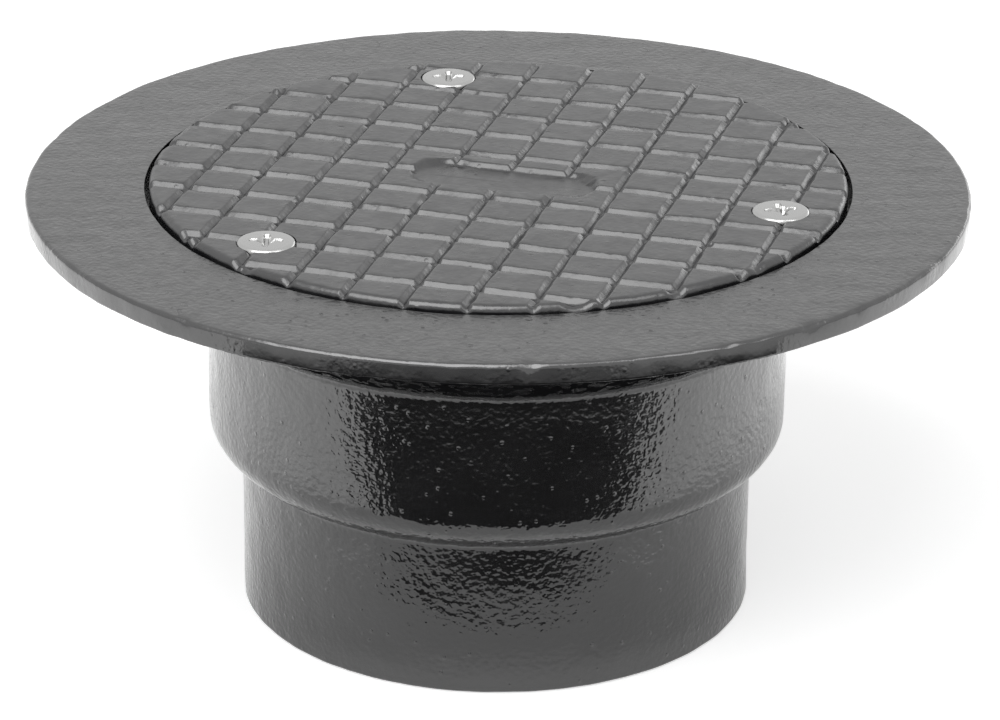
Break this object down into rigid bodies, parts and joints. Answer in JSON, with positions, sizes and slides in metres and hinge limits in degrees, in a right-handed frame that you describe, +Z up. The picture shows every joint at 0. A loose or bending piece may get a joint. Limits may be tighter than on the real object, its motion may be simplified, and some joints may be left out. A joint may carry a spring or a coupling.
{
  "type": "floor cleanout",
  "caption": "Round cast-iron floor cleanout: flush flange, screwed-down scoriated cover with square pads, stepped neck ending in a pipe spigot, and a gasketed screw plug inside.",
  "frame": {"origin": "centre of the spigot's lower end, the plane that the part stands on", "axes": "+Z up along the drain's axis through the flange; the cover's pad rows run along X and Y"},
  "size_m": [0.2044, 0.2044, 0.0978],
  "materials": {
    "coated_iron": "sand-cast iron under a glossy black coating",
    "screw_steel": "bright stainless",
    "plug_plastic": "moulded, satin",
    "seal_rubber": "matt"
  },
  "bodies": {
    "casting": {"casting": "coated_iron"},
    "cover": {"cover": "coated_iron"},
    "cover_screw_1": {"cover_screw_1": "screw_steel"},
    "cover_screw_2": {"cover_screw_2": "screw_steel"},
    "cover_screw_3": {"cover_screw_3": "screw_steel"},
    "plug_seal": {"plug_seal": "seal_rubber"},
    "plug": {"plug": "plug_plastic"}
  },
  "joints": [
    {"name": "cover_lift", "type": "slide", "parent": "casting", "child": "cover", "axis": [0, 0, 1], "range_m": [0, 0.06]},
    {"name": "cover_screw_1_out", "type": "slide", "parent": "cover", "child": "cover_screw_1", "axis": [0, 0, 1], "range_m": [0, 0.0121]},
    {"name": "cover_screw_2_out", "type": "slide", "parent": "cover", "child": "cover_screw_2", "axis": [0, 0, 1], "range_m": [0, 0.0121]},
    {"name": "cover_screw_3_out", "type": "slide", "parent": "cover", "child": "cover_screw_3", "axis": [0, 0, 1], "range_m": [0, 0.0121]},
    {"name": "plug_rise", "type": "slide", "parent": "casting", "child": "plug_seal", "axis": [0, 0, 1], "range_m": [0, 0.0127]},
    {"name": "plug_turn", "type": "hinge", "parent": "plug_seal", "child": "plug", "pos_m": [0, 0, 0.05], "axis": [0, 0, 1], "range_deg": [0, 1440]}
  ],
  "couplings": [
    {"joint": "plug_rise", "follows": "plug_turn", "m_per_rad": 0.00050532}
  ]
}
